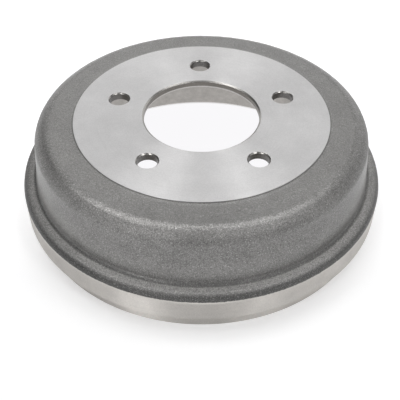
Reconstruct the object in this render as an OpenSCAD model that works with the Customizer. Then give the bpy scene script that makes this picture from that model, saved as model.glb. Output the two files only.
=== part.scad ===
// Brake drum, cast in one piece and turned on its hub face, friction surface and rim.
// Millimetres. The drum stands on the lip of its open rim: the axis is Z and the lip's face is z = 0.

/* [Hub face] */
// Diameter of the turned face that the wheel seats on
face_d = 165.6; // [140:0.1:172]
// How far the turned face stands above the cast ring around it
face_step = 0.8; // [0.4:0.1:1.5]
// Thickness of the web between its two turned faces
web_t = 5; // [4:0.1:7]
// Diameter of the pilot bore
pilot_d = 75; // [55:0.5:80]
// Chamfer at the pilot bore's outer edge
pilot_chamfer = 1; // [0.4:0.1:1.5]

/* [Bolt holes] */
// Diameter of the circle through the bolt holes
bolt_circle_d = 114.3; // [102:0.1:120]
// Number of bolt holes
bolt_count = 5; // [4:1:6]
// Diameter of each bolt hole
bolt_hole_d = 13; // [11:0.1:15]
// Chamfer at each bolt hole's outer edge
bolt_chamfer = 0.8; // [0.3:0.1:1.2]

/* [Body] */
// Height from the lip's face to the turned hub face
drum_h = 71; // [66:0.5:85]
// Diameter of the friction surface inside, where the shoes run
friction_d = 203; // [190:1:230]
// Height from the friction surface's inner end up to the turned hub face
corner_h = 17; // [16:0.5:20]
// Thickness of the wall at its foot, just above the bead
wall_t = 9.6; // [8:0.1:12]
// How far the wall's outside leans in between its foot and the shoulder
wall_lean = 3.5; // [2:0.1:4.5]
// Drop of the cast ring from the turned face's edge to the shoulder
ring_drop = 1.6; // [0.5:0.1:2.5]
// Outer radius of the rounded shoulder
shoulder_r = 10.5; // [8:0.1:12]

/* [Flange and bead] */
// How far the flange stands out from the foot of the wall
flange_w = 9; // [8:0.1:12]
// Height of the bead's top where it meets the wall
bead_h = 32.8; // [31:0.1:36]
// How much lower the bead's top is at its outer edge
bead_drop = 0.8; // [0:0.1:1]
// Radius of the bead's outer edge
bead_r = 4.5; // [3:0.1:4.5]
// Height of the bead's cast side, from its outer edge down to the turned band
bead_side = 4.1; // [4:0.1:5]
// How far the bead's cast side leans in above the turned band
bead_lean = 0.9; // [0.7:0.1:1.2]

/* [Lip and mouth] */
// Height of the lip that stands below the flange
lip_h = 12; // [8:0.1:14]
// How far the lip is set in from the flange's turned band
lip_step = 5.3; // [4:0.1:6]
// Width of the lip's face
lip_w = 2.3; // [2:0.1:4]
// Height of the conical mouth that leads to the friction surface
mouth_h = 8.3; // [4:0.1:9]

/* [Hidden] */

// Angle between the points of a rounded corner, and the flats around turned and drilled surfaces
arc_step = 10;
turn_flats = 104;
drill_flats = 48;
// Length that a cut runs past a surface
over = 1;

// Hub: the inner turned face, its rim step and the edge breaks of the web
pilot_back_chamfer = 0.6;
seat_z = drum_h - web_t;
seat_r = face_d / 2 - 4;
seat_step = 1;
face_edge = 0.2;

// Outside of the cast body
ring_z = drum_h - face_step;
friction_r = friction_d / 2;
foot_r = friction_r + wall_t;
top_r = foot_r - wall_lean;
foot_fillet = 2.2;

// Inside of the cast corner above the friction surface
friction_top = drum_h - corner_h;
rough_step = 0.8;
rough_r = friction_r - rough_step;
corner_z = drum_h - 8.4;
corner_fillet = 6.8;

// Flange, turned band and lip
band_r = foot_r + flange_w;
bead_edge_z = bead_h - bead_drop;
band_top = bead_edge_z - bead_side;
band_edge = 0.5;
lip_r = band_r - lip_step;
lip_fillet = 1.2;
lip_edge = 0.3;
mouth_r = lip_r - lip_w;

// Arc of radius r that rounds corner b on the way from a to c
function corner_arc(a, b, c, r) =
    let (
        u = (a - b) / norm(a - b),
        w = (c - b) / norm(c - b),
        half = acos(u * w) / 2,
        centre = b + (u + w) / norm(u + w) * r / sin(half),
        from = b + u * r / tan(half) - centre,
        to = b + w * r / tan(half) - centre,
        start = atan2(from[1], from[0]),
        turn = (atan2(to[1], to[0]) - start + 540) % 360 - 180,
        steps = max(2, ceil(abs(turn) / arc_step))
    )
    [for (i = [0:steps]) let (t = start + turn * i / steps) centre + r * [cos(t), sin(t)]];

// Closed outline through corners given as [radius, height, rounding]
function rounded(corners) =
    let (n = len(corners), xy = [for (p = corners) [p[0], p[1]]])
    [for (i = [0:n - 1])
        each corners[i][2] > 0
            ? corner_arc(xy[(i + n - 1) % n], xy[i], xy[(i + 1) % n], corners[i][2])
            : [xy[i]]];

// Outside of the section, from the pilot bore over the shoulder and down to the lip's face
outside = [
    [pilot_d / 2, drum_h - pilot_chamfer, 0],
    [pilot_d / 2 + pilot_chamfer, drum_h, 0],
    [face_d / 2 - face_edge, drum_h, 0],
    [face_d / 2, drum_h - face_edge, 0],
    [face_d / 2, ring_z, 0],
    [top_r, ring_z - ring_drop, shoulder_r],
    [foot_r, bead_h, foot_fillet],
    [band_r - bead_lean, bead_edge_z, bead_r],
    [band_r, band_top, 0],
    [band_r, lip_h + band_edge, 0],
    [band_r - band_edge, lip_h, 0],
    [lip_r, lip_h, lip_fillet],
    [lip_r, lip_edge, 0],
    [lip_r - lip_edge, 0, 0]
];

// Inside of the section, from the mouth up the friction surface and back to the pilot bore
inside = [
    [mouth_r, 0, 0],
    [friction_r, mouth_h, 0],
    [friction_r, friction_top, 0],
    [rough_r, friction_top + rough_step, 0],
    [rough_r, corner_z, corner_fillet],
    [seat_r + seat_step, seat_z - seat_step, 0],
    [seat_r, seat_z, 0],
    [pilot_d / 2 + pilot_back_chamfer, seat_z, 0],
    [pilot_d / 2, seat_z + pilot_back_chamfer, 0]
];

// The drum before drilling, turned about its axis
module body() {
    rotate_extrude($fn = turn_flats)
        polygon(rounded(concat(outside, inside)));
}

// One bolt hole with its chamfer, drilled along Z at the turned hub face
module bolt_hole() {
    translate([0, 0, seat_z - over])
        cylinder(d = bolt_hole_d, h = web_t + 2 * over, $fn = drill_flats);
    translate([0, 0, drum_h - bolt_chamfer])
        cylinder(
            r1 = bolt_hole_d / 2,
            r2 = bolt_hole_d / 2 + bolt_chamfer + over,
            h = bolt_chamfer + over,
            $fn = drill_flats
        );
}

// The bolt holes, evenly round the pilot bore, the first one on +Y
module bolt_holes() {
    for (i = [0:bolt_count - 1])
        rotate([0, 0, 90 + i * 360 / bolt_count])
            translate([bolt_circle_d / 2, 0, 0])
                bolt_hole();
}

module drum() {
    color([0.52, 0.52, 0.51])
        difference() {
            body();
            bolt_holes();
        }
}

drum();
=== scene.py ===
"""A brake drum, cast in iron and turned on its hub face, flange, lip, bore and friction surface.

The drum is one closed surface. Its turned section is carried round the axis, and the flat web
between the bore and the turned face's edge is laid out round its five bolt holes. Metres, +Z along
the axis, the drum standing on its lip at z = 0, the first bolt hole on +Y.
"""
import math

import bmesh
import bpy
import numpy as np
from mathutils import Matrix, Vector


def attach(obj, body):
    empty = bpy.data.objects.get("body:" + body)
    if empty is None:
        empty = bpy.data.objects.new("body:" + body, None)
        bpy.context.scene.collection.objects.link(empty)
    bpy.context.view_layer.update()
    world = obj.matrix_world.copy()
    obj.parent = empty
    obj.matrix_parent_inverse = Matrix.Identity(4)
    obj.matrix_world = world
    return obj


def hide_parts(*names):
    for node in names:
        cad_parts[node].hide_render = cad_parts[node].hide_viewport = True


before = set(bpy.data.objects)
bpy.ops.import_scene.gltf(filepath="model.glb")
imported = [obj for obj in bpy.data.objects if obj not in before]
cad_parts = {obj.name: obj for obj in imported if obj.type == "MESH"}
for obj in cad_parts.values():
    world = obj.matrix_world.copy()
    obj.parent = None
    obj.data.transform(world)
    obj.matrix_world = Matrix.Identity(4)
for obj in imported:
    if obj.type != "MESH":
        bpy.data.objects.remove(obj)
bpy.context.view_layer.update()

MM = 0.001

# The drum's layout: columns round the axis, bolt holes, and the flats left and right of each hole
COLUMNS = 360
HOLES = 5
SIDE_FLATS = 24
BOLT_CIRCLE_R = 57.15
HOLE_R = 6.5
HOLE_CHAMFER = 0.8
FACE_Z = 71.0
SEAT_Z = 66.0
BORE_R = 37.5

# Edge breaks of a turned edge and of a drilled edge, in mm
TURNED_BREAK = 0.12
DRILLED_BREAK = 0.15

# The section's corners from the turned face's edge over the shoulder, down the wall to the lip's
# face, up the friction surface and back to the web's underside: radius, height and rounding in mm,
# then the finish of the span that follows and the distance between its rows
FACE_EDGE_R = 82.3
SEAT_EDGE_R = 78.5
SECTION = [
    (FACE_EDGE_R, FACE_Z, 0, "face", 1.0),
    (82.6, FACE_Z, TURNED_BREAK, "face", 1.0),
    (82.8, 70.8, TURNED_BREAK, "face", 1.0),
    (82.8, 70.45, 0.2, "cast", 1.0),
    (85.4, 70.1, 2.0, "cast", 2.2),
    (107.6, 68.6, 10.5, "cast", 2.2),
    (111.1, 32.8, 2.2, "cast", 2.0),
    (119.2, 32.0, 4.5, "border", 0.45),
    (120.1, 27.9, 0, "border", 0.4),
    (120.1, 26.3, 0, "rim", 2.4),
    (120.1, 12.5, TURNED_BREAK, "rim", 1.0),
    (119.6, 12.0, TURNED_BREAK, "rim", 1.6),
    (114.8, 12.0, 1.2, "rim", 2.2),
    (114.8, 0.3, TURNED_BREAK, "rim", 1.0),
    (114.5, 0.0, TURNED_BREAK, "rim", 1.0),
    (112.5, 0.0, 0.3, "rim", 2.2),
    (101.5, 8.3, 0.3, "friction", 4.0),
    (101.5, 54.0, 0.2, "friction", 1.0),
    (100.7, 54.8, 0.2, "cast", 2.8),
    (100.7, 62.6, 6.8, "cast", 2.8),
    (79.8, 65.0, 0.3, "face", 1.0),
    (78.8, SEAT_Z, TURNED_BREAK, "face", 1.0),
    (SEAT_EDGE_R, SEAT_Z, 0, None, 0),
]

# The pilot bore's corners, from the web's underside up to the turned face
BORE_TOP_R = 38.9
BORE_FOOT_R = 38.5
BORE = [
    (BORE_FOOT_R, SEAT_Z, 0, "bore", 1.0),
    (38.1, SEAT_Z, 0.1, "chamfer", 1.0),
    (BORE_R, 66.6, 1.2, "chamfer", 1.0),
    (BORE_R, 67.3, 0, "bore", 0.9),
    (37.55, 70.15, DRILLED_BREAK, "chamfer", 1.0),
    (38.6, FACE_Z, DRILLED_BREAK, "face", 1.0),
    (BORE_TOP_R, FACE_Z, 0, None, 0),
]

# A bolt hole's corners from the web's underside up, with the radius from the hole's own middle
HOLE_EDGE = HOLE_R + HOLE_CHAMFER
HOLE_PAD = 0.3
HOLE = [
    (HOLE_R + HOLE_PAD, SEAT_Z, 0, "drilled", 1.0),
    (HOLE_R, SEAT_Z, DRILLED_BREAK, "drilled", 0.9),
    (HOLE_R, FACE_Z - HOLE_CHAMFER, DRILLED_BREAK, "chamfer", 1.0),
    (HOLE_EDGE, FACE_Z, DRILLED_BREAK, "face", 1.0),
    (HOLE_EDGE + HOLE_PAD, FACE_Z, 0, None, 0),
]

FINISHES = ["face", "cast", "border", "rim", "friction", "bore", "drilled", "chamfer"]

# Degrees between the points of a rounding, for large ones and for those up to LARGE_ROUNDING in mm
LARGE_ROUNDING = 2
FINE_STEP, COARSE_STEP = 6.5, 24

# A span longer than LONG_SPAN gets a row this close to each end, in mm, to keep its edges crisp
LONG_SPAN = 1.2
END_ROW = 0.25

# Where the rows lie between a hole's pad and its sector's outline, as shares of the way
PAD_ROWS = [0, 0.06, 0.25, 0.6, 1.0]

# The cast skin's waviness: how deep it sinks in mm, how many waves are added up and the sum from
# which it levels off, the fewest and most of one wave round the drum, and the shortest and longest
# wave along the section in mm
SKIN_DEPTH = 0.09
SKIN_WAVES = 56
LEVELS_OFF = 8
WAVES_ROUND = (4, 90)
WAVE_LENGTH = (6, 40)
SEED = 7

# Points nearer than this, in mm, are one
SEAM = 0.004


def rounded_corner(a, b, c, radius):
    """Points of the circle that touches lines ab and bc, from one to the other, evenly apart."""
    u = (a - b) / np.linalg.norm(a - b)
    w = (c - b) / np.linalg.norm(c - b)
    half = math.acos(float(u @ w)) / 2
    centre = b + (u + w) / np.linalg.norm(u + w) * radius / math.sin(half)
    start = b + u * radius / math.tan(half) - centre
    turn = math.pi - 2 * half
    if u[0] * w[1] - u[1] * w[0] > 0:
        turn = -turn
    step = FINE_STEP if radius > LARGE_ROUNDING else COARSE_STEP
    flats = max(2, math.ceil(abs(math.degrees(turn)) / step))
    t = np.linspace(0, turn, flats + 1)[:, None]
    across = np.array([-start[1], start[0]])
    return centre + start * np.cos(t) + across * np.sin(t)


def span_rows(a, b, step):
    """Points strictly between a and b, evenly spaced near `step`, with one close to each end."""
    length = float(np.linalg.norm(b - a))
    t = np.linspace(0, 1, max(1, round(length / step)) + 1)[1:-1]
    if length > LONG_SPAN:
        near = END_ROW / length
        t = np.concatenate([[near], t[(t > near) & (t < 1 - near)], [1 - near]])
    return a + (b - a) * t[:, None]


def section_rows(corners):
    """Rows of a section: each corner's arc, then the rows of the span after it. Gives the points,
    and the number of the finish between each two. A corner beside a cast span is cast."""
    at = np.array([c[:2] for c in corners], float)
    last = len(corners) - 1
    arcs = []
    for i, (_, _, rounding, _, _) in enumerate(corners):
        sharp = i in (0, last) or not rounding
        arcs.append(at[i][None] if sharp else rounded_corner(at[i - 1], at[i], at[i + 1], rounding))
    points, finish = [], []
    for i, (_, _, _, after, step) in enumerate(corners):
        points.append(arcs[i])
        if 0 < i < last:
            on_arc = "cast" if "cast" in (corners[i - 1][3], after) else after
            finish += [FINISHES.index(on_arc)] * (len(arcs[i]) - 1)
        if i < last:
            between = span_rows(arcs[i][-1], arcs[i + 1][0], step)
            points.append(between)
            finish += [FINISHES.index(after)] * (len(between) + 1)
    return np.concatenate(points), np.array(finish)


def grid_quads(rows, columns, first=0):
    """Quads of a grid that is closed along its columns: from row j, column k to the next row, and
    then to the next column."""
    j, k = np.meshgrid(np.arange(rows - 1), np.arange(columns), indexing="ij")
    k2 = (k + 1) % columns
    corners = [j * columns + k, (j + 1) * columns + k, (j + 1) * columns + k2, j * columns + k2]
    return first + np.stack(corners, -1).reshape(-1, 4)


def skin_waves(angle, along):
    """The cast skin's waviness, from 0 to 1: a sum of cosines with whole numbers of waves round
    the drum and any number along the section, with random phases from one seed."""
    rng = np.random.default_rng(SEED)
    total = np.zeros(np.broadcast(angle, along).shape)
    for _ in range(SKIN_WAVES):
        waves = rng.integers(*WAVES_ROUND)
        length = rng.uniform(*WAVE_LENGTH)
        slant = rng.choice([-1, 1])
        phase = rng.uniform(0, 2 * math.pi)
        total += np.cos(waves * angle + slant * 2 * math.pi * along / length + phase)
    return 0.5 + 0.5 * np.tanh(total / LEVELS_OFF)


def revolved(corners):
    """A section carried round the axis. Its points lie at radius times (cos, sin) of evenly spaced
    angles, and the cast rows are sunk along the section's normal by the skin's waviness."""
    rows, finish = section_rows(corners)
    angle = math.pi / 2 + 2 * math.pi * np.arange(COLUMNS) / COLUMNS
    step = np.diff(rows, axis=0)
    length = np.linalg.norm(step, axis=1)
    along = np.concatenate([[0], np.cumsum(length)])
    normal = np.zeros_like(rows)
    unit = step / length[:, None]
    normal[:-1] += unit
    normal[1:] += unit
    normal = np.stack([normal[:, 1], -normal[:, 0]], 1) / np.linalg.norm(normal, axis=1)[:, None]
    is_cast = (finish == FINISHES.index("cast")).astype(float)
    cast = np.minimum(np.append(is_cast, 0), np.insert(is_cast, 0, 0))
    sink = (SKIN_DEPTH * cast)[:, None] * skin_waves(angle[None, :], along[:, None])
    radius = rows[:, :1] + normal[:, :1] * sink
    height = rows[:, 1:] + normal[:, 1:] * sink
    points = np.stack([radius * np.cos(angle), radius * np.sin(angle), height + 0 * angle], -1)
    return points, finish


def web_round_hole(hole_rows, hole_finish):
    """The web's share of one bolt hole, on +X: straight lines on the underside from the sector's
    outline in to the hole, up the hole's wall, and out again on the turned face to the outline."""
    half = math.pi / HOLES
    per_arc = COLUMNS // HOLES

    def outline(inner, outer):
        """The sector's outline: along the outer arc, in, back along the inner arc and out again."""
        along_arc = np.linspace(-half, half, per_arc + 1)[:-1]
        inwards = np.linspace(outer, inner, SIDE_FLATS + 1)[:-1]
        outwards = inwards[::-1] + (inner - inwards[-1])
        side = np.full(SIDE_FLATS, half)
        r = np.concatenate([np.full(per_arc, outer), inwards, np.full(per_arc, inner), outwards])
        a = np.concatenate([along_arc, side, -along_arc, -side])
        return np.stack([r * np.cos(a), r * np.sin(a)], 1)

    top = outline(BORE_TOP_R, FACE_EDGE_R)
    foot = outline(BORE_FOOT_R, SEAT_EDGE_R)
    centre = np.array([BOLT_CIRCLE_R, 0.0])
    turn = np.unwrap(np.arctan2(top[:, 1], top[:, 0] - centre[0]))
    circle = np.stack([np.cos(turn), np.sin(turn)], 1)
    t = np.array(PAD_ROWS)[:, None, None]
    top_hole = centre + circle * hole_rows[-1, 0]
    foot_hole = centre + circle * hole_rows[0, 0]
    foot_pad = (foot_hole + (foot - foot_hole) * t)[::-1]
    top_pad = top_hole + (top - top_hole) * t
    wall = centre + circle * hole_rows[:, :1, None]
    flat = np.concatenate([foot_pad[:-1], wall, top_pad[1:]])
    height = np.concatenate([
        np.full(len(t) - 1, SEAT_Z), hole_rows[:, 1], np.full(len(t) - 1, FACE_Z)])
    face = FINISHES.index("face")
    finish = np.concatenate([np.full(len(t) - 1, face), hole_finish, np.full(len(t) - 1, face)])
    return np.concatenate([
        flat, np.broadcast_to(height[:, None, None], flat.shape[:2] + (1,))], -1), finish


def closed_drum():
    """All the drum's grids put into one mesh, with the seams between them merged."""
    hole_rows, hole_finish = section_rows(HOLE)
    sector, sector_finish = web_round_hole(hole_rows, hole_finish)
    grids = [revolved(SECTION), revolved(BORE)]
    for i in range(HOLES):
        a = math.pi / 2 + 2 * math.pi * i / HOLES
        c, s = math.cos(a), math.sin(a)
        spun = sector @ np.array([[c, s, 0], [-s, c, 0], [0, 0, 1]])
        grids.append((spun, sector_finish))
    points, quads, finishes = [], [], []
    first = 0
    for grid, finish in grids:
        rows, columns = grid.shape[:2]
        quads.append(grid_quads(rows, columns, first))
        finishes.append(np.repeat(finish, columns))
        points.append(grid.reshape(-1, 3))
        first += rows * columns
    mesh = bpy.data.meshes.new("drum_casting")
    mesh.from_pydata(np.concatenate(points) * MM, [], np.concatenate(quads))
    mesh.polygons.foreach_set("material_index", np.concatenate(finishes).astype(np.int32))
    mesh.polygons.foreach_set("use_smooth", np.ones(len(mesh.polygons), bool))
    merged = bmesh.new()
    merged.from_mesh(mesh)
    bmesh.ops.remove_doubles(merged, verts=merged.verts, dist=SEAM * MM)
    merged.to_mesh(mesh)
    merged.free()
    mesh.update()
    return mesh


# Materials

QUARTER_TURN = 0.25


def grey(level):
    """The linear value of a picture's grey level from 0 to 255."""
    v = level / 255
    return v / 12.92 if v <= 0.04045 else ((v + 0.055) / 1.055) ** 2.4


def colour(r, g, b):
    return (grey(r), grey(g), grey(b), 1.0)


class Wire:
    """A node's output. Arithmetic on it adds Math nodes to its tree, and make() adds any node."""

    def __init__(self, tree, socket=None):
        self.tree, self.socket = tree, socket

    def make(self, kind, settings=None, inputs=None, output=0):
        """A node of this kind: its settings first, then its inputs' values or links."""
        node = self.tree.nodes.new(kind)
        for name, value in (settings or {}).items():
            setattr(node, name, value)
        for name, value in (inputs or {}).items():
            socket = node.inputs[name]
            if isinstance(value, Wire):
                self.tree.links.new(value.socket, socket)
            else:
                socket.default_value = value
        return Wire(self.tree, node.outputs[output] if node.outputs else None)

    def math(self, operation, *values):
        return self.make("ShaderNodeMath", {"operation": operation}, dict(enumerate(values)))

    def __add__(self, other): return self.math("ADD", self, other)
    def __radd__(self, other): return self.math("ADD", other, self)
    def __sub__(self, other): return self.math("SUBTRACT", self, other)
    def __rsub__(self, other): return self.math("SUBTRACT", other, self)
    def __mul__(self, other): return self.math("MULTIPLY", self, other)
    def __rmul__(self, other): return self.math("MULTIPLY", other, self)
    def __pow__(self, other): return self.math("POWER", self, other)


def ease(value, low, high):
    """0 where value is at low, 1 where it is at high, eased in between."""
    return value.make("ShaderNodeMapRange", {"interpolation_type": "SMOOTHSTEP"},
                      {"Value": value, "From Min": low, "From Max": high})


def noise(at, scale, detail=2.0, rough=0.5):
    return at.make("ShaderNodeTexNoise", {"noise_dimensions": "3D"},
                   {"Vector": at, "Scale": scale, "Detail": detail, "Roughness": rough})


def tinted(amount, dark, light):
    """A colour between dark and light."""
    return amount.make("ShaderNodeMix", {"data_type": "RGBA"}, {0: amount, 6: dark, 7: light}, 2)


def scaled(tint, level):
    """A colour times a value."""
    return level.make("ShaderNodeVectorMath", {"operation": "SCALE"}, {0: tint, "Scale": level})


class Place:
    """Where a point of the surface lies, in mm: its place, its x, y and z, and its radius."""

    def __init__(self, tree):
        start = Wire(tree)
        metres = start.make("ShaderNodeTexCoord", output=3)
        self.mm = start.make("ShaderNodeVectorMath", {"operation": "SCALE"},
                             {0: metres, "Scale": 1 / MM})
        self.x, self.y, self.z = (
            start.make("ShaderNodeSeparateXYZ", None, {0: self.mm}, axis) for axis in range(3))
        self.r = (self.x * self.x + self.y * self.y) ** 0.5

    def lines(self, across, pitch, stretch):
        """Noise in lines about `pitch` mm apart across the surface, which changes along them only
        every `stretch` mm."""
        at = self.x.make("ShaderNodeCombineXYZ", None, {
            0: across * (1 / pitch), 1: self.x * (1 / stretch), 2: self.y * (1 / stretch)})
        return noise(at, 1.0, 2.0, 0.6)


def cast_skin(p):
    """Sand-cast skin: grey, with fine grains and scattered bright flecks over broader clouds. The
    ring on top is smoother. Light and shade are painted into its colour. The top ring and the left
    side are painted lighter, and the shoulder and the bead's crest carry painted highlights.
    Painted shade darkens the bead's outer edge, the foot of the wall, the ring's front and the step
    below the hub face. The wall grows lighter downwards by painted light, most of all at its left
    and right sides."""
    grain = noise(p.mm, 1.5, 1.0, 0.6)
    pits = noise(p.mm, 0.7, 1.0, 0.6)
    clouds = noise(p.mm, 0.09, 2.0, 0.5)
    flecks = ease(noise(p.mm, 1.7, 0.0, 0.5), 0.6, 0.7)
    top = ease(p.r, 99.5, 97.0)
    rough_side = 1.0 - top * 0.3
    shade = ((grain - 0.5) * 1.6 + (pits - 0.5) * 0.6) * rough_side + (clouds - 0.5) * 0.3 + 0.5

    # Where each part of the casting is, from 0 to 1
    # The ring just outside the step below the hub face's edge, painted with a thin line of shade
    painted_step_shade = ease(p.r, 83.8, 83.1) * ease(p.z, 69.0, 69.6)
    # The top ring's front, painted darker with shade
    front = top * ease(p.y, -72.0, -100.0)
    # The band of the shoulder where its highlight falls, painted lighter and made more metallic
    highlight_ring = ease(p.r, 98.5, 100.5) * ease(p.r, 103.5, 102.0)
    shoulder = ease(p.r, 102.0, 104.6) * ease(p.z, 60.0, 62.5)
    wall = ease(p.z, 66.5, 62.5)
    low = ease(p.z, 52.0, 40.0)
    foot = ease(p.z, 35.4, 33.0) * ease(p.r, 109.5, 110.8) * ease(p.r, 113.6, 112.4)
    bead = ease(p.z, 33.6, 32.9)
    crest = ease(p.r, 112.3, 113.7) * ease(p.r, 117.8, 114.6) * bead
    edge = ease(p.r, 117.2, 119.2) * bead
    upright = ease(p.z, 32.9, 34.0) * (1.0 - top)

    # Painted light and shade: how much lighter or darker than the plain skin each part is painted,
    # standing in for how the light falls on it
    # Painted light on the top ring, a painted highlight on the shoulder's band, and painted shade
    # on the ring's front and at the step below the hub face
    on_top = top * 0.075 + highlight_ring * 0.04 - front * 0.18 - painted_step_shade * 0.5
    # Painted shade over the wall from the shoulder down, taken back by painted light towards its
    # bottom, and deep painted shade in the fillet at its foot
    on_wall = low * 0.16 - wall * 0.15 - foot * 0.42
    # A painted highlight on the bead's crest and painted shade on its outer edge
    on_bead = crest * 0.46 - edge * 0.64
    # Painted light on the left side, and painted shade on the bead there
    left = ease(p.x, -10.0, -90.0) * (0.1 - bead * 0.23)
    # At the left and right sides, painted light low on the wall, and painted shade higher up and on
    # the bead's crest
    sides = ease(p.x * p.x, 3000.0, 9500.0) * (
        upright * (ease(p.z, 50.0, 38.0) * 0.3 - ease(p.z, 50.0, 57.0) * 0.14) - crest * 0.22)
    # All but the flecks, which are the skin's own bright grains, is painted light and shade
    level = on_top + on_wall + on_bead + left + sides + flecks * rough_side * 0.5 + 1.0
    return {
        "colour": scaled(tinted(shade, colour(98, 97, 96), colour(161, 160, 158)), level),
        "metallic": 0.42 - edge * 0.3 + highlight_ring * 0.14 + flecks * 0.4,
        "roughness": 0.34 + (pits - 0.5) * 0.2 + bead * 0.14 + shoulder * 0.14,
        "height": (grain * 0.12 + pits * 0.1) * rough_side,
    }


def turned(p, across, dark, light, metal, rough, depth, pitch=0.28):
    """A turned finish: fine concentric lines, `depth` mm deep and about `pitch` mm apart across
    the surface, with wider bands, soft clouds and specks in its tone."""
    lines = p.lines(across, pitch, 60.0)
    wide = p.lines(across, 1.6, 90.0)
    clouds = noise(p.mm, 0.08, 3.0, 0.55)
    specks = noise(p.mm, 1.3, 1.0, 0.5)
    shade = ((lines - 0.5) * 0.4 + (wide - 0.5) * 0.2
             + (clouds - 0.5) * 0.9 + (specks - 0.5) * 0.9 + 0.5)
    return {
        "colour": tinted(shade, dark, light),
        "metallic": metal,
        "roughness": rough + (lines - 0.5) * 0.06,
        "height": lines * depth + specks * 0.003,
    }


def blend(mask, a, b):
    """Finish a where the mask is 0 and finish b where it is 1."""
    look = {"colour": tinted(mask, a["colour"], b["colour"])}
    for name in ("metallic", "roughness", "height"):
        look[name] = a[name] + mask * (b[name] - a[name])
    return look


def iron(name, finish, stretch):
    """A material from a finish, which is a function of the place on the surface. A turned
    surface's highlights stretch across its turning lines, which run round the axis."""
    material = bpy.data.materials.new(name)
    material.use_nodes = True
    tree = material.node_tree
    tree.nodes.clear()
    look = finish(Place(tree))
    start = Wire(tree)
    bump = start.make("ShaderNodeBump", None, {
        "Height": look["height"], "Distance": MM, "Strength": 1.0})
    surface = start.make("ShaderNodeBsdfPrincipled", None, {
        "Base Color": look["colour"], "Metallic": look["metallic"], "Roughness": look["roughness"],
        "Normal": bump, "Anisotropic": stretch, "Anisotropic Rotation": QUARTER_TURN})
    start.make("ShaderNodeOutputMaterial", None, {"Surface": surface})
    return material


def hub_face(p):
    return turned(p, p.r + p.z, colour(201, 200, 200), colour(224, 223, 223), 0.27, 0.43, 0.004)


def rim(p):
    return turned(p, p.r + p.z, colour(187, 184, 180), colour(215, 211, 206), 1.0, 0.45, 0.004)


def ragged_border(p):
    """The turned band's upper edge, where the bead's skin starts along a slightly ragged line."""
    ragged = (noise(p.mm, 0.7, 3.0, 0.6) - 0.5) * 1.4
    is_turned = ease(p.z + ragged, 27.7, 27.4)
    return blend(is_turned, cast_skin(p), rim(p))


def friction(p):
    """The friction surface, mottled where the shoes would run."""
    look = turned(p, p.r + p.z, colour(168, 165, 160), colour(193, 190, 185), 1.0, 0.4, 0.008)
    mottling = noise(p.mm, 0.25, 2.0, 0.6)
    look["colour"] = scaled(look["colour"], (mottling - 0.5) * 0.4 + 0.96)
    return look


def bored(p):
    return turned(p, p.r + p.z, colour(118, 114, 109), colour(152, 148, 142), 0.6, 0.33, 0.008)


def drilled(p):
    return turned(p, p.z, colour(88, 87, 85), colour(138, 136, 133), 0.9, 0.3, 0.03, 0.9)


def chamfer(p):
    """The chamfers at the turned face and the edge at the bore's foot, which catch the lamps."""
    return turned(p, p.z, colour(170, 168, 165), colour(198, 196, 192), 1.0, 0.28, 0.002)


# A material for each of the finishes, in their order, and how far its highlights stretch
MATERIALS = [
    ("turned_hub_face", hub_face, 0.95),
    ("cast_iron_skin", cast_skin, 0.0),
    ("ragged_band_edge", ragged_border, 0.3),
    ("turned_band_and_lip", rim, 0.95),
    ("friction_surface", friction, 0.5),
    ("pilot_bore", bored, 0.3),
    ("drilled_holes", drilled, 0.0),
    ("bright_chamfers", chamfer, 0.0),
]

drum = bpy.data.objects.new("brake_drum", closed_drum())
bpy.context.scene.collection.objects.link(drum)
for material in MATERIALS:
    drum.data.materials.append(iron(*material))
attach(drum, "root")
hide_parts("drum")


# Floor and light

def background_seen(start, in_metal):
    """1 for a ray from the camera or through glass, and in_metal for one that metal reflects."""
    camera_ray, glossy_ray, through_ray = (
        start.make("ShaderNodeLightPath", output=name)
        for name in ("Is Camera Ray", "Is Glossy Ray", "Is Transmission Ray"))
    direct = start.math("MAXIMUM", camera_ray, through_ray)
    return start.math("MAXIMUM", direct, glossy_ray * in_metal)


# The floor's half width in metres, up to the horizon, and how far it lies below the lip, in mm
FLOOR_HALF = 60.0
FLOOR_DROP = 0.05


def white_floor():
    """A floor that takes the drum's soft shadow: white paper, lifted a little by a glow where the
    camera or metal sees it, more behind the drum's front, which is painted light that thins the
    shadow at the drum's sides, and most far away. Inside the lip it glows plain white for the
    camera and for metal, painted light where the drum's own shade would fall."""
    mesh = bpy.data.meshes.new("floor")
    corners = np.array([(-1, -1), (1, -1), (1, 1), (-1, 1)]) * FLOOR_HALF
    height = np.full((len(corners), 1), -FLOOR_DROP * MM)
    mesh.from_pydata(np.hstack([corners, height]), [], [(0, 1, 2, 3)])
    floor = bpy.data.objects.new("floor", mesh)
    bpy.context.scene.collection.objects.link(floor)
    material = bpy.data.materials.new("white_floor")
    material.use_nodes = True
    tree = material.node_tree
    tree.nodes.clear()
    p = Place(tree)
    start = Wire(tree)
    seen = background_seen(start, 1.0)
    # Painted light: inside the lip the floor glows plain white for the camera and for metal, where
    # the drum's shade would fall
    inside = ease(p.r, 112.0, 111.0)
    # Painted light: the glow grows behind the drum's front, which thins the drum's shadow at its
    # sides
    behind = ease(p.y, -85.0, -5.0)
    far = ease(p.r, 400.0, 1800.0)
    paper = start.make("ShaderNodeBsdfDiffuse", None, {"Color": (0.8, 0.8, 0.805, 1)})
    lift = start.make("ShaderNodeEmission", None, {
        "Color": (1, 1, 1.005, 1), "Strength": seen * (behind * 0.12 + far * 0.6 + 0.34)})
    shaded = start.make("ShaderNodeAddShader", None, {0: paper, 1: lift})
    bright = start.make("ShaderNodeEmission", None, {
        "Color": (0.948, 0.94, 0.957, 1), "Strength": 1.0})
    surface = start.make("ShaderNodeMixShader", None, {0: inside * seen, 1: shaded, 2: bright})
    start.make("ShaderNodeOutputMaterial", None, {"Surface": surface})
    mesh.materials.append(material)


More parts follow.
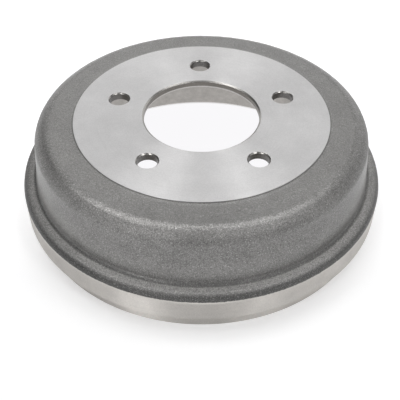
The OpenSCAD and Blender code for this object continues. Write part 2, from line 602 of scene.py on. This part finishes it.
# Soft lamps round the drum: direction as degrees from +X and above the floor, distance in metres,
# width and height in metres, and watts. The narrow ones in front make the two fans on the hub face
# and the bright spots on the chamfers, and those overhead the broader patches beside them.
LAMPS = [
    ("overhead", 90, 88, 1.3, 1.2, 1.0, 0.9),
    ("overhead_behind", 88, 74, 1.3, 0.7, 0.4, 1.15),
    ("left_overhead", 180, 66, 1.4, 0.7, 0.7, 4.1),
    ("right_overhead", 0, 66, 1.4, 0.7, 0.7, 2.75),
    ("back_left_overhead", 135, 66, 1.4, 0.5, 0.5, 0.85),
    ("back_right_overhead", 45, 66, 1.4, 0.5, 0.5, 1.2),
    ("back", 90, 45, 1.5, 1.6, 0.5, 1.5),
    ("back_low", 90, 18, 1.6, 2.2, 0.6, 3.8),
    ("back_right_low", 40, 25, 1.5, 0.8, 0.8, 1.6),
    ("right_low", 342, 20, 1.4, 0.6, 0.8, 1.0),
    ("front_left", 239, 41, 1.4, 0.3, 0.6, 2.3),
    ("front_left_low", 235, 18, 1.4, 0.4, 0.5, 2.45),
    ("front_right", 309, 43, 1.4, 0.3, 0.6, 2.55),
    ("front_right_low", 297, 18, 1.4, 0.4, 0.5, 0.6),
]


# The point that the lamps face, inside the drum, in metres
DRUM_MIDDLE = Vector((0, 0, 0.04))


def soft_lamp(name, around, above, distance, width, height, watts):
    """A rectangular lamp that faces the drum's middle."""
    a, e = math.radians(around), math.radians(above)
    away = Vector((math.cos(a) * math.cos(e), math.sin(a) * math.cos(e), math.sin(e)))
    lamp = bpy.data.lights.new(name, "AREA")
    lamp.shape, lamp.size, lamp.size_y, lamp.energy = "RECTANGLE", width, height, watts
    holder = bpy.data.objects.new(name, lamp)
    holder.location = DRUM_MIDDLE + away * distance
    holder.rotation_euler = (-away).to_track_quat("-Z", "Y").to_euler()
    bpy.context.scene.collection.objects.link(holder)


# The even light's strength
SKY = 0.1


def sky():
    """Dim even light from all round. The camera sees white there, and metal sees white up to a few
    degrees above the floor's far end, by the sine of the height."""
    world = bpy.data.worlds.new("studio")
    bpy.context.scene.world = world
    world.use_nodes = True
    tree = world.node_tree
    tree.nodes.clear()
    start = Wire(tree)
    towards = start.make("ShaderNodeTexCoord", output=0)
    above = start.make("ShaderNodeSeparateXYZ", None, {0: towards}, 2)
    seen = background_seen(start, ease(above, 0.12, 0.04))
    background = start.make("ShaderNodeBackground", None, {
        "Color": (1, 1, 1, 1), "Strength": seen * (1 - SKY) + SKY})
    start.make("ShaderNodeOutputWorld", None, {"Surface": background})


white_floor()
sky()
for lamp in LAMPS:
    soft_lamp(*lamp)

# Camera: its distance from the axis and its height in mm; in radians, how far it stands round the
# axis, looks down, looks sideways and is turned about its view; its focal length and the picture's
# size in pixels and the sensor's width in mm; the nearest and the farthest it sees, in metres
CAMERA_BACK, CAMERA_HEIGHT = 371.841, 345.493
CAMERA_TURN, CAMERA_PITCH, CAMERA_YAW, CAMERA_ROLL = 0.0235888, 0.7568632, -0.0022880, 0.0030434
FOCAL_PIXELS, PICTURE_PIXELS, SENSOR_MM = 708.456, 400, 36.0
NEAREST, FARTHEST = 0.01, 50.0


def place_camera():
    """The camera, facing ahead by its angles, with right and up turned by the roll."""
    turn = Matrix.Rotation(-CAMERA_TURN, 3, "Z")
    level = math.cos(CAMERA_PITCH)
    ahead = turn @ Vector((
        math.sin(CAMERA_YAW) * level, math.cos(CAMERA_YAW) * level, -math.sin(CAMERA_PITCH)))
    right = ahead.cross(Vector((0, 0, 1))).normalized()
    up = right.cross(ahead)
    c, s = math.cos(CAMERA_ROLL), math.sin(CAMERA_ROLL)
    right, up = c * right + s * up, -s * right + c * up
    camera = bpy.data.cameras.new("camera")
    camera.sensor_width = SENSOR_MM
    camera.lens = FOCAL_PIXELS / PICTURE_PIXELS * SENSOR_MM
    camera.clip_start, camera.clip_end = NEAREST, FARTHEST
    holder = bpy.data.objects.new("camera", camera)
    axes = Matrix((right, up, -ahead)).transposed()
    place = turn @ Vector((0, -CAMERA_BACK, CAMERA_HEIGHT)) * MM
    holder.matrix_world = Matrix.Translation(place) @ axes.to_4x4()
    bpy.context.scene.collection.objects.link(holder)
    bpy.context.scene.camera = holder


place_camera()
bpy.context.scene.view_settings.view_transform = "Standard"
